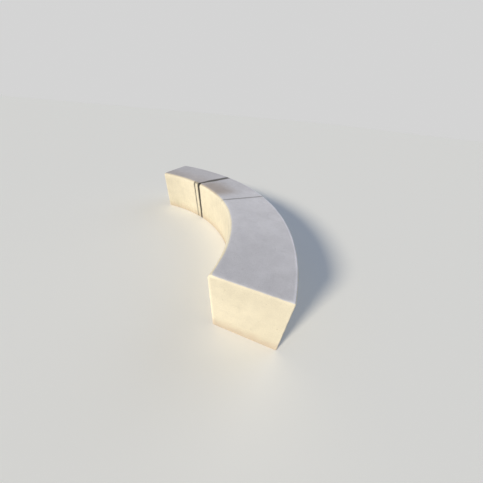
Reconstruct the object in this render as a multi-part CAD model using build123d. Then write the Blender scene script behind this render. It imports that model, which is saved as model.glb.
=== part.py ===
from build123d import *
import os
from math import cos, degrees, hypot, radians, sin

# Curved kerb of precast concrete units, laid end to end on a quarter circle. Millimetres, +Z up.
# Angles are in degrees about the centre of the curve, from +X, and the kerb's middle faces +Y.

# section
height = 450.0
top_width = 480.0
inner_batter = 30.0  # how far the inner wall leans back, from its top to its base
outer_batter = 10.0  # the outer wall is all but upright
inner_radius = 1340.0  # of the inner wall, at its top

# length of each unit along the curve
near_angle = 44.0
middle_angle = 22.0
far_angle = 25.5

# rounded arrises
inner_arris_radius = 36.0  # along the top of the inner wall
outer_arris_radius = 12.0  # along the top of the outer wall
free_end_arris_radius = 10.0  # round each free end face, up one side, over the top and down
joint_arris_radius = 4.0  # round each face that meets the next unit

# The last joint touches at the foot of the outer wall and is this wide at the two top arrises.
open_joint_outer_gap = 12.0
open_joint_inner_gap = 28.0

outer_radius = inner_radius + top_width
start_angle = 90.0 - (near_angle + middle_angle + far_angle) / 2
first_joint = start_angle + near_angle
last_joint = first_joint + middle_angle
end_angle = last_joint + far_angle
touch = 0.01  # how near a point lies to count as on a plane


def at(radius, angle, z=0.0):
    """A point by its radius and angle about the centre of the curve."""
    return Vector(radius * cos(radians(angle)), radius * sin(radians(angle)), z)


def end_plane(angle, inner_gap=0.0, outer_gap=0.0):
    """The plane of an end face, facing along the curve.

    It passes through the foot of the outer wall at an angle, and stands off by the two gaps
    along the inner and outer arrises. With no gaps it is upright and points to the centre.
    """
    foot = at(outer_radius - outer_batter, angle)
    inner = at(inner_radius, angle + degrees(inner_gap / inner_radius), height)
    outer = at(outer_radius, angle + degrees(outer_gap / outer_radius), height)
    across = (outer - inner).normalized()
    return Plane(origin=foot, x_dir=across, z_dir=(outer - foot).cross(across))


def section():
    """The battered section, upright and at its own radius from the centre."""
    base_inner = inner_radius + inner_batter
    base_outer = outer_radius - outer_batter
    corners = [(base_inner, 0), (base_outer, 0), (outer_radius, height), (inner_radius, height)]
    return Plane.XZ * make_face(Polyline(*corners, close=True))


def swept_unit(from_angle, to_angle):
    """The plain unit: the section turned about the centre of the curve."""
    return Rot(0, 0, from_angle) * revolve(section(), Axis.Z, to_angle - from_angle)


def lies_on(edge, plane):
    """Whether an edge lies in a plane."""
    places = [plane.to_local_coords(edge @ share).Z for share in (0, 0.5, 1)]
    return all(abs(place) < touch for place in places)


def is_top_arris(edge, radius):
    """Whether an edge runs along the kerb at a radius, in the plane of the top."""
    points = [edge @ share for share in (0, 0.5, 1)]
    off = [hypot(hypot(point.X, point.Y) - radius, point.Z - height) for point in points]
    return max(off) < touch


def rounded_top(unit):
    """The unit with the two arrises along its top rounded from end to end."""
    arrises = ((inner_radius, inner_arris_radius), (outer_radius, outer_arris_radius))
    for radius, arris_radius in arrises:
        unit = fillet([edge for edge in unit.edges() if is_top_arris(edge, radius)], arris_radius)
    return unit


def rounded_end(unit, plane, radius):
    """The unit with the outline of an end face rounded, all but the arris on the ground."""
    outline = [edge for edge in unit.edges() if lies_on(edge, plane) and not lies_on(edge, Plane.XY)]
    return fillet(outline, radius)


def finished(unit, free_ends, joints):
    """The plain unit with all its arrises rounded."""
    unit = rounded_top(unit)
    for plane in free_ends:
        unit = rounded_end(unit, plane, free_end_arris_radius)
    for plane in joints:
        unit = rounded_end(unit, plane, joint_arris_radius)
    return unit


def near_unit():
    """The full unit, with a free end and a joint face."""
    unit = swept_unit(start_angle, first_joint)
    return finished(unit, [end_plane(start_angle)], [end_plane(first_joint)])


def middle_unit():
    """The half unit, with a joint face at each end."""
    unit = swept_unit(first_joint, last_joint)
    return finished(unit, [], [end_plane(first_joint), end_plane(last_joint)])


def far_unit():
    """The closing unit, cut so that its joint opens towards the top and the inner wall."""
    joint = end_plane(last_joint, open_joint_inner_gap, open_joint_outer_gap)
    unit = split(swept_unit(last_joint, end_angle), joint, keep=Keep.TOP)
    return finished(unit, [end_plane(end_angle)], [joint])


units = {
    "near_unit": near_unit(),
    "middle_unit": middle_unit(),
    "far_unit": far_unit(),
}

# The origin is at the middle of the kerb's bounding box, on the ground.
bounds = Compound(list(units.values())).bounding_box()
to_origin = Pos(-bounds.center().X, -bounds.center().Y, 0)

os.makedirs("parts", exist_ok=True)
for name, unit in units.items():
    export_step(to_origin * unit, f"parts/{name}.step")
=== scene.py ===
"""Looks of the curved concrete kerb: three detailed precast units, their concrete, and a plain studio."""

import math
import random

import bpy
import numpy as np
from mathutils import Matrix, Vector


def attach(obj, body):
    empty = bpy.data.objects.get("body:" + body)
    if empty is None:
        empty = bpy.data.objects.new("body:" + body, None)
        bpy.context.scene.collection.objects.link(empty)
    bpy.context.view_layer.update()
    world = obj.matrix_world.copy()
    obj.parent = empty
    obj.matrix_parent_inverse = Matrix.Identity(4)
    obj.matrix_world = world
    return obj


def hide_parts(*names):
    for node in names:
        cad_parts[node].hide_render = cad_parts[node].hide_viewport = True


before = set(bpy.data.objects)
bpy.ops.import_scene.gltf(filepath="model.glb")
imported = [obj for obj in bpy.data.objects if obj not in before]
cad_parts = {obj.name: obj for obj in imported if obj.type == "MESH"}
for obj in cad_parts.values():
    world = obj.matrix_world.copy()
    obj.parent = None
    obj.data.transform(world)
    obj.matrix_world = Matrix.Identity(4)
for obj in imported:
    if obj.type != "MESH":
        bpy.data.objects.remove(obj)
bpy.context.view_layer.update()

# The kerb's sizes, the same as in the CAD, in metres and degrees. Angles are about the centre of
# the curve, from +X.
CENTRE = np.array([0.0, -1.380307, 0.0])
HEIGHT = 0.450
INNER, OUTER = 1.340, 1.820  # radius of each wall at its top
INNER_BATTER, OUTER_BATTER = 0.030, 0.010  # how far each wall leans in, from its top to its base
NEAR_ANGLE, MIDDLE_ANGLE, FAR_ANGLE = 44.0, 22.0, 25.5  # length of each unit
OPEN_INNER, OPEN_OUTER = 0.028, 0.012  # width of the open joint at the two top arrises
INNER_ARRIS, OUTER_ARRIS = 0.036, 0.012  # radius along the top of each wall
END_RADIUS = 0.010  # round each free end face
JOINT_RADIUS = 0.004  # round the faces that meet the next unit
BASE_EASE = 0.003  # worn edge along the ground

WIDTH = OUTER - INNER
MIDDLE_RADIUS = (INNER + OUTER) / 2
START = 90.0 - (NEAR_ANGLE + MIDDLE_ANGLE + FAR_ANGLE) / 2
FIRST_JOINT = START + NEAR_ANGLE
LAST_JOINT = FIRST_JOINT + MIDDLE_ANGLE
END = LAST_JOINT + FAR_ANGLE

# The mesh. A section has WIDE steps across its base, and as many between the middles of the
# rounded corners of its top.
STEP = 0.006
ROUND_STEPS = 10  # across a rounded top arris
END_STEPS, JOINT_STEPS = 7, 3  # across the rounded outline of a free end and of a joint face
ACROSS = round((WIDTH - INNER_ARRIS - OUTER_ARRIS) / STEP)
UP = round(HEIGHT / STEP) - ROUND_STEPS // 2
WIDE = ACROSS + ROUND_STEPS

chance = random.Random(20751)


# Shape


def at(radius, angle, z=0.0):
    """A point about the centre of the curve, before the centre is put in its place."""
    a = math.radians(angle)
    return np.array([radius * math.cos(a), radius * math.sin(a), z])


def between(start, end, steps):
    """Points along a straight line, without its first point."""
    share = np.linspace(0, 1, steps + 1)[1:, None]
    return start + (end - start) * share


def wall_side(batter, arris, drawn_in):
    """One wall of the section, drawn in, from its worn foot up and round the top arris.

    It returns the reach from the middle of the top's width, and the height, two columns.
    """
    slope = batter / HEIGHT
    lean = math.atan(slope)
    foot = WIDTH / 2 - batter - drawn_in / math.cos(lean)
    z = HEIGHT - arris
    corner = arris - drawn_in
    reach = foot + slope * z - corner / math.cos(lean)
    turns = np.linspace(-lean, math.pi / 2, ROUND_STEPS + 1)
    arc = np.array([reach, z]) + corner * np.stack([np.cos(turns), np.sin(turns)], axis=1)
    drop = 0.3 * BASE_EASE
    toe, bevel = np.array([foot - BASE_EASE, 0.0]), np.array([foot - drop, drop])
    start = np.array([foot + slope * BASE_EASE, BASE_EASE])
    return np.vstack([toe, bevel, start, between(start, arc[0], UP), arc[1:]])


def section(drawn_in):
    """The closed section with its walls and top drawn in, as radius and height.

    The loop starts at the inner foot and runs along the base, up the outer wall, back over the
    top and down the inner wall.
    """
    outer = wall_side(OUTER_BATTER, OUTER_ARRIS, drawn_in)
    inner = wall_side(INNER_BATTER, INNER_ARRIS, drawn_in)[::-1] * [-1, 1]
    base = between(inner[-1], outer[0], WIDE)
    over = between(outer[-1], inner[0], ACROSS)
    return np.vstack([inner[-1:], base, outer[1:], over, inner[1:-1]]) + [MIDDLE_RADIUS, 0]


def end_rings(radius, steps):
    """Depth inside an end face and the section there, from the face to where its rounding ends."""
    turns = np.linspace(0, math.pi / 2, steps + 1)
    return [(radius * (1 - math.cos(turn)), section(radius * (1 - math.sin(turn)))) for turn in turns]


RINGS = {"free": end_rings(END_RADIUS, END_STEPS)}
RINGS["tight"] = RINGS["open"] = end_rings(JOINT_RADIUS, JOINT_STEPS)


class EndFace:
    """An end face: free, or in the tight or the open joint. Its normal points out of the unit."""

    def __init__(self, kind, angle, outward, inner_gap=0.0, outer_gap=0.0):
        foot = at(OUTER - OUTER_BATTER, angle)
        inner = at(INNER, angle + math.degrees(inner_gap / INNER), HEIGHT)
        outer = at(OUTER, angle + math.degrees(outer_gap / OUTER), HEIGHT)
        normal = np.cross(outer - foot, outer - inner)
        normal /= np.linalg.norm(normal)
        if np.dot(normal, at(1.0, angle + 90.0)) * outward < 0:
            normal = -normal
        self.kind, self.rings = kind, RINGS[kind]
        self.normal, self.level, self.middle = normal, float(np.dot(normal, foot)), math.radians(angle)

    def angles(self, loop, depth):
        """Where a loop of the section passes at a depth inside the face, in radians."""
        radius, z = loop[:, 0], loop[:, 1]
        a, b, c = self.normal
        turn = np.arccos((self.level - depth - c * z) / (radius * math.hypot(a, b)))
        lean = math.atan2(b, a)
        one, two = self.near_middle(lean + turn), self.near_middle(lean - turn)
        return np.where(np.abs(one - self.middle) < np.abs(two - self.middle), one, two)

    def near_middle(self, angle):
        """The same angle, within half a turn of the face."""
        return self.middle + (angle - self.middle + math.pi) % (2 * math.pi) - math.pi

    def depth(self, points):
        """How far inside the face points lie."""
        return self.level - points @ self.normal


def skin(near, far):
    """The points between two end faces, and the grid of their numbers, a row for each loop."""
    full = near.rings[-1][1]
    first, last = (face.angles(full, face.rings[-1][0]) for face in (near, far))
    count = round(float(np.mean(last - first)) * MIDDLE_RADIUS / STEP)
    loops = [(loop, near.angles(loop, depth)) for depth, loop in near.rings]
    loops += [(full, first + (last - first) * k / count) for k in range(1, count)]
    loops += [(loop, far.angles(loop, depth)) for depth, loop in reversed(far.rings)]
    points = [
        np.stack([loop[:, 0] * np.cos(angles), loop[:, 0] * np.sin(angles), loop[:, 1]], 1)
        for loop, angles in loops
    ]
    return np.vstack(points), np.arange(len(loops) * len(full)).reshape(len(loops), len(full))


def filled(grid):
    """A grid of points whose border is set, filled smoothly."""
    u = np.linspace(0, 1, grid.shape[1])[None, :, None]
    v = np.linspace(0, 1, grid.shape[0])[:, None, None]
    sides = (1 - v) * grid[:1] + v * grid[-1:] + (1 - u) * grid[:, :1] + u * grid[:, -1:]
    low = (1 - u) * grid[0, 0] + u * grid[0, -1]
    high = (1 - u) * grid[-1, 0] + u * grid[-1, -1]
    return sides - (1 - v) * low - v * high


def cap(points, loop):
    """The points with those inside an end loop added, and the grid of all that face's points."""
    tall = (len(loop) - 2 * WIDE) // 2
    grid = np.full((tall + 1, WIDE + 1), -1)
    grid[0] = loop[: WIDE + 1]
    grid[:, -1] = loop[WIDE : WIDE + tall + 1]
    grid[-1, ::-1] = loop[WIDE + tall : 2 * WIDE + tall + 1]
    grid[1:, 0] = loop[: 2 * WIDE + tall - 1 : -1]
    known = grid >= 0
    place = np.zeros(grid.shape + (3,))
    place[known] = points[grid[known]]
    grid[~known] = np.arange(len(points), len(points) + (~known).sum())
    return np.vstack([points, filled(place)[~known]]), grid


def quads_of(grid, flip):
    """The faces of a grid of point numbers, in its own rows and columns."""
    quads = np.stack([grid[:-1, :-1], grid[:-1, 1:], grid[1:, 1:], grid[1:, :-1]], -1)
    return quads[:, :, ::-1] if flip else quads


def point_normals(points, quads):
    """The outward direction at each point."""
    a, b, c, d = (points[quads[:, k]] for k in range(4))
    faces = np.cross(c - a, d - b)
    normals = np.zeros_like(points)
    for k in range(4):
        np.add.at(normals, quads[:, k], faces)
    return normals / np.linalg.norm(normals, axis=1, keepdims=True)


def smooth(value, low, high):
    """0 below low, 1 above high, smooth between."""
    share = np.clip((value - low) / (high - low), 0, 1)
    return share * share * (3 - 2 * share)


# Fine relief

WAVE_DEPTH = 0.0011  # the cast faces wander inwards by up to this much
ARRIS_DEPTH = 0.0014  # and the arrises by up to this much more
LEAST_DEPTH = 0.0001  # and both by at least this, so that nothing stands proud of the CAD
ARRIS_SPAN = 0.004, 0.030  # an arris's own wander fades out over these distances from it
GROUND_SPAN = 0.0, 0.006  # heights over which the wander sets in
JOINT_SPAN = -0.001, 0.004  # and distances from a joint face
TOP_SPAN = 0.0008, 0.006  # depths below the top over which its weathering fades out

PITS = 90  # air holes in a square metre of wall
PITS_ON_TOP = 0.35  # chance that a place picked on a top gets one
NEAR_TOP = 0.01  # depth to which a place counts as on the top
PIT_FROM_ARRIS, PIT_FROM_GROUND, PIT_FROM_JOINT = 0.040, 0.020, 0.030  # the nearest that one comes
PIT_LEAST, PIT_SPREAD, PIT_SKEW = 0.22, 0.50, 2.2  # radius, as a share of the room, mostly small
PIT_DEPTHS = 0.6, 1.0  # least and most, as a share of the radius
PIT_WIDTHS = 0.75, 1.0  # the same for the width across
PIT_ORDER = [(0, 0), (0, 1), (0, 2), (1, 2), (2, 2), (2, 1), (2, 0), (1, 0)]
PIT_RINGS = ((1.0, 0.0), (0.86, 0.45), (0.52, 0.88))  # share of the pit's radius and of its depth


def make_waves(longest, shortest, count):
    """Waves in random directions, summed to a height from 0 to 1 at each point."""
    waves = []
    for _ in range(count):
        length = shortest * (longest / shortest) ** chance.random()
        heading = np.array([chance.gauss(0, 1) for _ in range(3)])
        heading /= np.linalg.norm(heading)
        waves.append((heading * 2 * math.pi / length, chance.uniform(0, 2 * math.pi), length**0.5))
    # few heights pass this and are cut off
    total = math.sqrt(sum(size**2 for _, _, size in waves)) * 2.4

    def height(points):
        value = sum(size * np.sin(points @ heading + shift) for heading, shift, size in waves)
        return np.clip(0.5 + value / total, 0, 1)

    return height


cast_waves = make_waves(0.50, 0.07, 26)
arris_waves = make_waves(0.060, 0.016, 30)


def distances(points, near, far):
    """How far points are inside the top, the two walls and the two end faces."""
    radius, z = np.hypot(points[:, 0], points[:, 1]), points[:, 2]
    inner = radius - (INNER + INNER_BATTER * (1 - z / HEIGHT))
    outer = (OUTER - OUTER_BATTER * (1 - z / HEIGHT)) - radius
    return np.stack([HEIGHT - z, inner, outer, near.depth(points), far.depth(points)], axis=1)


def from_joint(points, ends, kinds=("tight", "open")):
    """How far points are inside the nearest joint face of some kinds, and 1 where it has none."""
    depths = [face.depth(points) for face in ends if face.kind in kinds]
    return np.min([np.full(len(points), 1.0), *depths], axis=0)


def from_arris(inside):
    """How far points are from the nearest arris: the second least distance inside a face."""
    return np.sort(inside, axis=1)[:, 1]


def arris_share(inside):
    """1 on an arris, 0 away from it."""
    return 1 - smooth(from_arris(inside), *ARRIS_SPAN)


def wander(points, quads, inside, joined):
    """The points moved inwards a little, but not at the ground or at a joint face."""
    sink = LEAST_DEPTH + WAVE_DEPTH * cast_waves(points)
    sink += ARRIS_DEPTH * arris_waves(points) * arris_share(inside)
    sink *= smooth(points[:, 2], *GROUND_SPAN) * smooth(joined, *JOINT_SPAN)
    return points - point_normals(points, quads) * sink[:, None]


def pit(points, block, flip):
    """An air hole in a cast face, in place of two by two quads: its new points and its faces."""
    order = PIT_ORDER[::-1] if flip else PIT_ORDER
    middle = block[1, 1]
    along = points[block[1, 2]] - points[block[1, 0]]
    across = points[block[2, 1]] - points[block[0, 1]]
    reach = min(np.linalg.norm(along), np.linalg.norm(across)) / 2
    along, across = along / np.linalg.norm(along), across / np.linalg.norm(across)
    outward = np.cross(along, across) * (-1 if flip else 1)
    radius = reach * (PIT_LEAST + PIT_SPREAD * chance.random() ** PIT_SKEW)
    depth = radius * chance.uniform(*PIT_DEPTHS)
    stretch = chance.uniform(*PIT_WIDTHS)
    first = len(points)
    added, rings = [], [[block[o] for o in order]]
    for share, sink in PIT_RINGS:
        ring = []
        for row, column in order:
            side = np.array([column - 1, row - 1], float)
            side *= radius * share / np.linalg.norm(side)
            ring.append(first + len(added))
            level = along * side[0] + across * side[1] * stretch
            added.append(points[middle] + level - outward * depth * sink)
        rings.append(ring)
    bottom = points[middle] - outward * depth
    steps = [(k, (k + 1) % len(order)) for k in range(len(order))]
    faces = []
    for wide, tight in zip(rings, rings[1:]):
        faces.extend((wide[k], wide[n], tight[n], tight[k]) for k, n in steps)
    faces.extend((rings[-1][k], rings[-1][n], middle) for k, n in steps)
    return added, faces, bottom


def with_pits(points, patches, clear):
    """The points and faces with air holes at random in the clear places, and the points in the holes."""
    points = list(points)
    faces, hollow = [], set()
    for grid, flip in patches:
        keep = np.ones((grid.shape[0] - 1, grid.shape[1] - 1), bool)
        rows, columns = np.nonzero(clear[grid[1:-1, 1:-1]])
        spots = list(zip(rows + 1, columns + 1))
        chance.shuffle(spots)
        wanted = int(len(spots) * STEP**2 * PITS)
        for row, column in spots:
            if wanted <= 0:
                break
            around = np.s_[row - 1 : row + 1, column - 1 : column + 1]
            if not keep[around].all():
                continue
            on_top = points[grid[row, column]][2] > HEIGHT - NEAR_TOP
            if on_top and chance.random() > PITS_ON_TOP:
                continue
            wanted -= 1
            keep[around] = False
            block = grid[row - 1 : row + 2, column - 1 : column + 2]
            added, new_faces, bottom = pit(points, block, flip)
            hollow.update(range(len(points) + len(PIT_ORDER), len(points) + len(added)))
            points.extend(added)
            points[block[1, 1]] = bottom
            hollow.add(int(block[1, 1]))
            faces.extend(new_faces)
        faces.extend(quads_of(grid, flip)[keep].tolist())
    return np.array(points), faces, hollow


# Pieces


def readings(points, ends, hollow):
    """What the material reads at each point."""
    inside = distances(points, *ends)
    return {
        "top": 1 - smooth(inside[:, 0], *TOP_SPAN),
        "arris": arris_share(inside),
        "tight_joint": from_joint(points, ends, ("tight",)),
        "open_joint": from_joint(points, ends, ("open",)),
        "from_inner": inside[:, 1],
        "along": np.arctan2(points[:, 1], points[:, 0]) * MIDDLE_RADIUS,
        "hole": np.isin(np.arange(len(points)), list(hollow)),
    }


def unit(name, near, far):
    """One precast unit between two end faces."""
    ends = near, far
    points, body = skin(near, far)
    # grids of point numbers, each with whether its faces are turned over
    patches = [(np.hstack([body, body[:, :1]]), True)]
    for loop, flip in ((body[0], False), (body[-1], True)):
        points, grid = cap(points, loop)
        patches.append((grid, flip))
    quads = np.vstack([quads_of(grid, flip).reshape(-1, 4) for grid, flip in patches])

    inside, joined = distances(points, near, far), from_joint(points, ends)
    points = wander(points, quads, inside, joined)
    clear = (from_arris(inside) > PIT_FROM_ARRIS) & (joined > PIT_FROM_JOINT)
    clear &= points[:, 2] > PIT_FROM_GROUND
    points, faces, hollow = with_pits(points, patches, clear)

    mesh = bpy.data.meshes.new(name)
    mesh.from_pydata((points + CENTRE).tolist(), [], [tuple(int(v) for v in face) for face in faces])
    mesh.update()
    mesh.polygons.foreach_set("use_smooth", [True] * len(mesh.polygons))
    for label, values in readings(points, ends, hollow).items():
        mesh.attributes.new(label, "FLOAT", "POINT").data.foreach_set("value", values.astype(np.float32))
    piece = bpy.data.objects.new(name, mesh)
    bpy.context.scene.collection.objects.link(piece)
    return piece


near_end, far_end = EndFace("free", START, -1), EndFace("free", END, 1)
tight_near, tight_far = EndFace("tight", FIRST_JOINT, 1), EndFace("tight", FIRST_JOINT, -1)
open_near = EndFace("open", LAST_JOINT, 1)
open_far = EndFace("open", LAST_JOINT, -1, OPEN_INNER, OPEN_OUTER)

units = {
    "near_unit": unit("near_unit_cast", near_end, tight_near),
    "middle_unit": unit("middle_unit_cast", tight_far, open_near),
    "far_unit": unit("far_unit_cast", open_far, far_end),
}


# Concrete


class Tree:
    """Short calls that add nodes to a material and return their outputs."""

    def __init__(self, material):
        material.use_nodes = True
        self.tree = material.node_tree
        self.shader = self.tree.nodes["Principled BSDF"]
        self.place = self.tree.nodes.new("ShaderNodeTexCoord").outputs["Object"]

    def put(self, value, socket):
        """A link from another node, or a plain value."""
        if isinstance(value, bpy.types.NodeSocket):
            self.tree.links.new(value, socket)
        else:
            socket.default_value = value

    def value(self, name):
        """What the mesh says at each point."""
        node = self.tree.nodes.new("ShaderNodeAttribute")
        node.attribute_name = name
        return node.outputs["Fac"]

    def math(self, operation, *values):
        node = self.tree.nodes.new("ShaderNodeMath")
        node.operation = operation
        for value, socket in zip(values, node.inputs):
            self.put(value, socket)
        return node.outputs[0]

    def times(self, first, *others):
        for other in others:
            first = self.math("MULTIPLY", first, other)
        return first

    def plus(self, first, *others):
        for other in others:
            first = self.math("ADD", first, other)
        return first

    def stray(self, value, noise, width):
        """A value that strays by a noise, within about half a width each way."""
        return self.plus(value, self.times(self.math("SUBTRACT", noise, 0.5), width))

    def fade(self, value, span, ends=(0.0, 1.0)):
        """From the first end to the second, as the value passes over the span."""
        node = self.tree.nodes.new("ShaderNodeMapRange")
        node.interpolation_type = "SMOOTHSTEP"
        for item, socket in zip((value, *span, *ends), node.inputs):
            self.put(item, socket)
        return node.outputs[0]

    def noise(self, scale, detail, roughness, distortion=0.0, place=None):
        node = self.tree.nodes.new("ShaderNodeTexNoise")
        self.put(place or self.place, node.inputs["Vector"])
        names = "Scale", "Detail", "Roughness", "Distortion"
        for name, item in zip(names, (scale, detail, roughness, distortion)):
            self.put(item, node.inputs[name])
        return node.outputs["Fac"]

    def cells(self, scale):
        """Distance to the nearest cell's middle, and a random colour for each cell."""
        node = self.tree.nodes.new("ShaderNodeTexVoronoi")
        self.put(self.place, node.inputs["Vector"])
        self.put(scale, node.inputs["Scale"])
        return node.outputs["Distance"], node.outputs["Color"]

    def split(self, vector):
        node = self.tree.nodes.new("ShaderNodeSeparateXYZ")
        self.put(vector, node.inputs[0])
        return node.outputs

    def join(self, x, y, z):
        node = self.tree.nodes.new("ShaderNodeCombineXYZ")
        for value, socket in zip((x, y, z), node.inputs):
            self.put(value, socket)
        return node.outputs[0]

    def mix(self, share, a, b, blend="MIX"):
        node = self.tree.nodes.new("ShaderNodeMix")
        node.data_type = "RGBA"
        node.blend_type = blend
        self.put(share, node.inputs["Factor"])
        self.put(a, node.inputs[6])
        self.put(b, node.inputs[7])
        return node.outputs[2]

    def toned(self, colour, tone):
        """A colour made paler or darker."""
        return self.mix(1.0, colour, self.join(tone, tone, tone), "MULTIPLY")

    def bump(self, height, distance, strength, normal=None):
        node = self.tree.nodes.new("ShaderNodeBump")
        self.put(height, node.inputs["Height"])
        self.put(distance, node.inputs["Distance"])
        self.put(strength, node.inputs["Strength"])
        if normal is not None:
            self.put(normal, node.inputs["Normal"])
        return node.outputs[0]


# Cream walls and a cool grey top: partly the concrete's own weathering, partly painted light for warm low
# sun on the walls and sky light on the top.
WALL = (0.785, 0.725, 0.585, 1)
TOP = (0.665, 0.660, 0.715, 1)
STAIN = (0.37, 0.30, 0.25, 1)
STREAK = (0.50, 0.45, 0.36, 1)
AGGREGATE = (0.22, 0.20, 0.19, 1)
# painted shade: the dark inside the pin holes and the air holes
PIN_HOLE_SHADE = (0.25, 0.22, 0.18, 1)
AIR_HOLE_SHADE = (0.30, 0.26, 0.21, 1)
EARTH = (0.42, 0.27, 0.20, 1)
# the yellow-green tint of the streaks low on the inner wall
LOW_STREAK_TINT = (0.47, 0.44, 0.28, 1)
NEAR_BLACK = (0.055, 0.052, 0.055, 1)

# the near end and the two joints, as lengths along the middle of the curve
NEAR_END = math.radians(START) * MIDDLE_RADIUS
TIGHT_JOINT = math.radians(FIRST_JOINT) * MIDDLE_RADIUS
OPEN_JOINT = math.radians(LAST_JOINT) * MIDDLE_RADIUS
RUN_FOOT = OPEN_JOINT + 0.086  # where the dark line beside the open joint meets the ground
RUN_LEAN = 0.045  # how far it leans along the curve, for each metre of height


class Concrete(Tree):
    """The concrete, with what its layers share. Noise scales are in waves to a metre."""

    def __init__(self, material):
        super().__init__(material)
        self.z = self.split(self.place)[2]
        self.top, self.along = self.value("top"), self.value("along")
        self.from_inner = self.value("from_inner")
        self.wall = self.math("SUBTRACT", 1.0, self.top)
        self.clouds = self.noise(3.2, 4.0, 0.55, distortion=0.4)
        self.blotches = self.noise(14.0, 4.0, 0.6)
        self.sand = self.noise(210.0, 3.0, 0.65)
        self.grain = self.noise(620.0, 2.0, 0.6)
        self.downward_noise = self.drips(60.0, 6.0, 4.0, 3.0)
        spot, kind = self.cells(95.0)
        self.pins = self.times(
            self.fade(spot, (0.05, 0.13), (1.0, 0.0)),
            self.fade(self.split(kind)[1], (0.66, 0.70)),
        )

    def drips(self, across, down, detail, shift):
        """Noise drawn out down the walls, in waves to a metre along the curve and downwards."""
        place = self.join(self.times(self.along, across), self.times(self.z, down), shift)
        return self.noise(1.0, detail, 0.6, place=place)

    def past(self, place, start, end, ends=(0.0, 1.0)):
        """A fade along the curve, between two lengths past a place."""
        return self.fade(self.along, (place + start, place + end), ends)


def cast_colour(t):
    """Cream walls and a greyer top, which pales along the long unit. The two tints are partly weathering
    and partly painted light: warm low sun on the walls, cool sky light on the top.
    """
    greyer = t.fade(t.stray(t.top, t.blotches, 0.5), (0.25, 0.85))
    tone = t.times(
        t.past(NEAR_END, 0.08, 0.78, (0.93, 1.075)),
        t.past(TIGHT_JOINT, 0.016, 0.366, (1.0, 0.91)),
    )
    return t.mix(greyer, WALL, t.toned(TOP, tone))


def stained(t, colour):
    """The brown stain along the inner side of the two short units' tops, less of it on the last."""
    at_joint = OPEN_JOINT, -0.14, 0.06
    reach = t.past(*at_joint, (0.09, 0.05))
    most = t.past(*at_joint, (0.66, 0.40))
    least = t.past(*at_joint, (0.03, 0.09))
    stain = t.times(
        t.fade(t.stray(t.from_inner, t.clouds, 0.09), (reach, t.plus(reach, 0.26)), (most, least)),
        t.past(TIGHT_JOINT, 0.056, 0.246),
        t.fade(t.z, (HEIGHT - 0.020, HEIGHT - 0.003)),
    )
    return t.mix(stain, colour, STAIN)


def mottled(t, colour):
    """Cloudy mottling, sand in the cement skin, and paler arrises: partly wear, partly a painted
    highlight, strongest on the inner arris towards the near end and on the top's outer rim.
    """
    # painted highlight: the inner arris towards the near end and the outer rim of the top are made paler
    inner_end_highlight = t.times(
        t.fade(t.from_inner, (0.03, 0.08), (1.0, 0.0)),
        t.past(NEAR_END, 0.53, 1.03, (1.0, 0.0)),
    )
    outer_rim_highlight = t.times(t.fade(t.from_inner, (WIDTH - 0.050, WIDTH - 0.015)), t.top)
    # wear and painted highlight together make the arrises paler
    worn_and_highlit = t.plus(
        t.fade(t.from_inner, (0.05, 0.10), (1.11, 1.04)),
        t.times(inner_end_highlight, 0.09),
        t.times(outer_rim_highlight, 0.26),
    )
    tone = t.times(
        t.fade(t.clouds, (0.3, 0.7), (0.945, 1.045)),
        t.fade(t.blotches, (0.3, 0.7), (0.965, 1.03)),
        t.fade(t.noise(7.0, 5.0, 0.65, distortion=1.2), (0.56, 0.74), (1.0, 0.93)),
        t.fade(t.sand, (0.25, 0.75), (0.95, 1.05)),
        t.fade(t.grain, (0.25, 0.75), (0.93, 1.06)),
        t.fade(t.value("arris"), (0.0, 1.0), (1.0, worn_and_highlit)),
        t.past(OPEN_JOINT, 0.01, 0.56, (1.0, 0.95)),
    )
    return t.toned(colour, tone)


def streaked(t, colour):
    """Rain streaks down the walls, strongest under the arris."""
    streak = t.times(
        t.fade(t.drips(34.0, 1.6, 3.0, 0.0), (0.52, 0.72)),
        t.wall,
        t.fade(t.z, (0.0, HEIGHT - 0.03), (0.35, 1.0)),
        0.13,
    )
    return t.mix(streak, colour, STREAK)


def speckled(t, colour):
    """Dark grains of aggregate, and painted shade in the pin holes and inside the air holes."""
    spot, kind = t.cells(250.0)
    grains = t.times(t.fade(spot, (0.16, 0.30), (1.0, 0.0)), t.fade(t.split(kind)[0], (0.86, 0.90)))
    colour = t.mix(t.times(grains, 0.45), colour, AGGREGATE)
    colour = t.mix(t.times(t.pins, 0.55), colour, PIN_HOLE_SHADE)
    return t.mix(t.times(t.value("hole"), 0.45), colour, AIR_HOLE_SHADE)


def splashed(t, colour):
    """Earth splashed up from the ground, and a yellow-green tint in streaks low on the inner wall."""
    ragged = t.stray(t.z, t.blotches, -0.12)
    colour = t.mix(t.fade(ragged, (0.0, 0.10), (0.40, 0.0)), colour, EARTH)
    # a yellow-green tint in streaks, low on the inner wall from about a metre past the near end
    low_streaks = t.times(
        t.fade(t.downward_noise, (0.42, 0.66)),
        t.fade(ragged, (0.03, 0.24), (1.0, 0.0)),
        t.fade(t.from_inner, (0.002, 0.02), (1.0, 0.0)),
        t.past(NEAR_END, 0.98, 1.98),
        0.35,
    )
    return t.mix(low_streaks, colour, LOW_STREAK_TINT)


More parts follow.
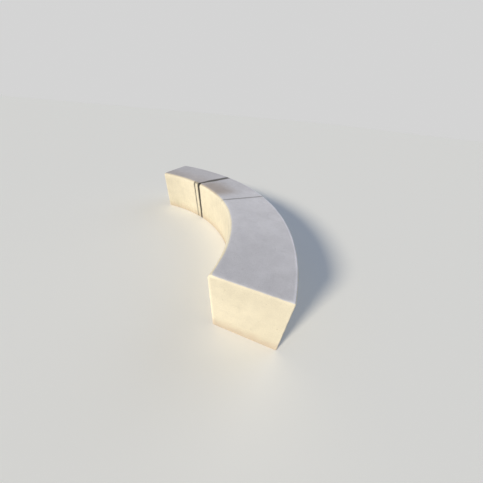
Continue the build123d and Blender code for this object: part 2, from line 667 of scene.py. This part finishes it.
def darkened_joints(t, colour):
    """Grime along the tight joint, and a near-black band along the open joint, widest on the outer half
    of the top.
    """
    from_tight = t.stray(t.value("tight_joint"), t.blotches, 0.006)
    tight = t.times(
        t.fade(from_tight, (0.0015, 0.020), (0.62, 0.0)),
        t.fade(t.top, (0.0, 1.0), (0.30, 1.0)),
    )
    colour = t.mix(tight, colour, NEAR_BLACK)
    # a near-black band along the open joint, darker near the inner side on the walls and towards the
    # outer side on the top
    from_open = t.stray(t.value("open_joint"), t.blotches, 0.012)
    wide_on_top = t.fade(t.from_inner, (0.06, 0.22), (0.014, 0.040))
    wide = t.fade(t.top, (0.0, 1.0), (0.022, wide_on_top))
    dark_on_walls = t.fade(t.from_inner, (0.04, 0.16), (0.75, 0.30))
    dark_on_top = t.fade(t.from_inner, (0.04, 0.16), (0.35, 0.85))
    dark = t.fade(t.top, (0.0, 1.0), (dark_on_walls, dark_on_top))
    return t.mix(t.fade(from_open, (0.003, wide), (dark, 0.0)), colour, NEAR_BLACK)


def dark_run(t, colour):
    """A dark patch along the inner arris just past the open joint, joined to a dark line running from it
    down the inner wall.
    """
    # a dark patch and a dark line beside the open joint, drawn in near-black
    pool = t.times(
        t.past(OPEN_JOINT, 0.015, 0.030),
        t.past(OPEN_JOINT, 0.088, 0.110, (1.0, 0.0)),
        t.fade(t.z, (HEIGHT - 0.025, HEIGHT - 0.014)),
        0.50,
    )
    line = t.stray(t.plus(RUN_FOOT, t.times(t.z, RUN_LEAN)), t.blotches, 0.012)
    aside = t.math("ABSOLUTE", t.math("SUBTRACT", t.along, line))
    darkness = t.fade(t.z, (0.02, HEIGHT - 0.05), (0.60, 0.94))
    run = t.times(t.fade(t.stray(aside, t.downward_noise, 0.05), (-0.004, 0.030), (darkness, 0.0)), t.wall)
    near_wall = t.fade(t.from_inner, (0.018, 0.050), (1.0, 0.0))
    return t.mix(t.times(t.math("MAXIMUM", pool, run), near_wall), colour, NEAR_BLACK)


def relief(t):
    """Fine relief: the skim of the cast face, its sand and its pin holes."""
    normal = t.bump(t.clouds, 0.0020, 0.35)
    normal = t.bump(t.sand, 0.0006, 0.45, normal)
    normal = t.bump(t.grain, 0.0003, 0.5, normal)
    return t.bump(t.math("SUBTRACT", 1.0, t.pins), 0.0012, 0.8, normal)


def make_concrete():
    """The material of all three units."""
    material = bpy.data.materials.new("concrete")
    t = Concrete(material)
    colour = cast_colour(t)
    for layer in (stained, mottled, streaked, speckled, splashed, darkened_joints, dark_run):
        colour = layer(t, colour)
    t.put(colour, t.shader.inputs["Base Color"])
    t.put(t.fade(t.blotches, (0.3, 0.7), (0.86, 0.94)), t.shader.inputs["Roughness"])
    t.put(0.35, t.shader.inputs["Specular IOR Level"])
    t.put(relief(t), t.shader.inputs["Normal"])
    return material


concrete = make_concrete()
for node, piece in units.items():
    piece.data.materials.append(concrete)
    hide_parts(node)
    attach(piece, "root")


# Studio

FLOOR_HALF = 60.0
FLOOR_LIT = (0.70, 0.70, 0.70, 1)  # its colour for the light that it throws back
FLOOR_SEEN = (0.93, 0.93, 0.92, 1)  # and for the camera
SKY = (0.66, 0.78, 1.0, 1)
SKY_STRENGTH = 0.31
BACKDROP = (0.66, 0.66, 0.66, 1)


def make_floor():
    """A wide pale floor. It isn't part of the object."""
    mesh = bpy.data.meshes.new("floor")
    corners = [(x * FLOOR_HALF, y * FLOOR_HALF, 0) for x, y in ((-1, -1), (1, -1), (1, 1), (-1, 1))]
    mesh.from_pydata(corners, [], [(0, 1, 2, 3)])
    floor = bpy.data.objects.new("floor", mesh)
    bpy.context.scene.collection.objects.link(floor)
    material = bpy.data.materials.new("floor")
    t = Tree(material)
    seen = t.tree.nodes.new("ShaderNodeLightPath").outputs["Is Camera Ray"]
    t.put(t.mix(seen, FLOOR_LIT, FLOOR_SEEN), t.shader.inputs["Base Color"])
    t.put(1.0, t.shader.inputs["Roughness"])
    t.put(0.0, t.shader.inputs["Specular IOR Level"])
    mesh.materials.append(material)


def lamp(name, heading, height, strength, softness, color):
    """A broad far lamp. Its light travels towards a heading, in degrees from +X."""
    light = bpy.data.lights.new(name, "SUN")
    light.energy = strength
    light.angle = math.radians(softness)
    light.color = color
    obj = bpy.data.objects.new(name, light)
    h, e = math.radians(heading), math.radians(height)
    travel = Vector((math.cos(h) * math.cos(e), math.sin(h) * math.cos(e), -math.sin(e)))
    obj.rotation_euler = travel.to_track_quat("-Z", "Y").to_euler()
    bpy.context.scene.collection.objects.link(obj)


def make_world():
    """A soft sky for the light, and a plain grey backdrop for the camera, mirrors and glass."""
    world = bpy.data.worlds.new("studio")
    bpy.context.scene.world = world
    world.use_nodes = True
    tree = world.node_tree
    sky = tree.nodes["Background"]
    sky.inputs["Color"].default_value = SKY
    sky.inputs["Strength"].default_value = SKY_STRENGTH
    backdrop = tree.nodes.new("ShaderNodeBackground")
    backdrop.inputs["Color"].default_value = BACKDROP
    path = tree.nodes.new("ShaderNodeLightPath")
    plain = path.outputs["Is Camera Ray"]
    for name in ("Is Glossy Ray", "Is Transmission Ray"):
        either = tree.nodes.new("ShaderNodeMath")
        either.operation = "MAXIMUM"
        tree.links.new(plain, either.inputs[0])
        tree.links.new(path.outputs[name], either.inputs[1])
        plain = either.outputs[0]
    mix = tree.nodes.new("ShaderNodeMixShader")
    for output, socket in zip((plain, sky.outputs[0], backdrop.outputs[0]), mix.inputs):
        tree.links.new(output, socket)
    tree.links.new(mix.outputs[0], tree.nodes["World Output"].inputs["Surface"])


make_floor()
lamp("key", heading=109.0, height=25.0, strength=3.20, softness=12.0, color=(1.0, 0.91, 0.73))
lamp("back", heading=-80.0, height=32.0, strength=0.42, softness=40.0, color=(0.90, 0.95, 1.0))
make_world()


# Camera

CAMERA_AT = (1.6658, -0.6271, 1.1721)
CAMERA_HEADING = 61.982  # degrees from +Y towards -X
CAMERA_PITCH = 34.786  # down
CAMERA_ROLL = 5.538  # the picture leans to the right
FOCAL_PIXELS = 186.68
IMAGE_PIXELS = 483
SENSOR = 36.0


def make_camera():
    """The camera, where the photograph was taken from."""
    heading, pitch, roll = (math.radians(v) for v in (CAMERA_HEADING, CAMERA_PITCH, CAMERA_ROLL))
    ahead = Vector((-math.sin(heading), math.cos(heading), 0))
    level_right = Vector((ahead.y, -ahead.x, 0))
    forward = ahead * math.cos(pitch) - Vector((0, 0, math.sin(pitch)))
    level_up = ahead * math.sin(pitch) + Vector((0, 0, math.cos(pitch)))
    right = level_right * math.cos(roll) + level_up * math.sin(roll)
    up = level_up * math.cos(roll) - level_right * math.sin(roll)
    lens = bpy.data.cameras.new("camera")
    lens.sensor_width = SENSOR
    lens.lens = FOCAL_PIXELS / IMAGE_PIXELS * SENSOR
    lens.clip_start = 0.05
    lens.clip_end = 500
    camera = bpy.data.objects.new("camera", lens)
    axes = Matrix((right, up, -forward)).transposed().to_4x4()
    axes.translation = CAMERA_AT
    camera.matrix_world = axes
    bpy.context.scene.collection.objects.link(camera)
    bpy.context.scene.camera = camera


make_camera()
bpy.context.scene.view_settings.view_transform = "Standard"
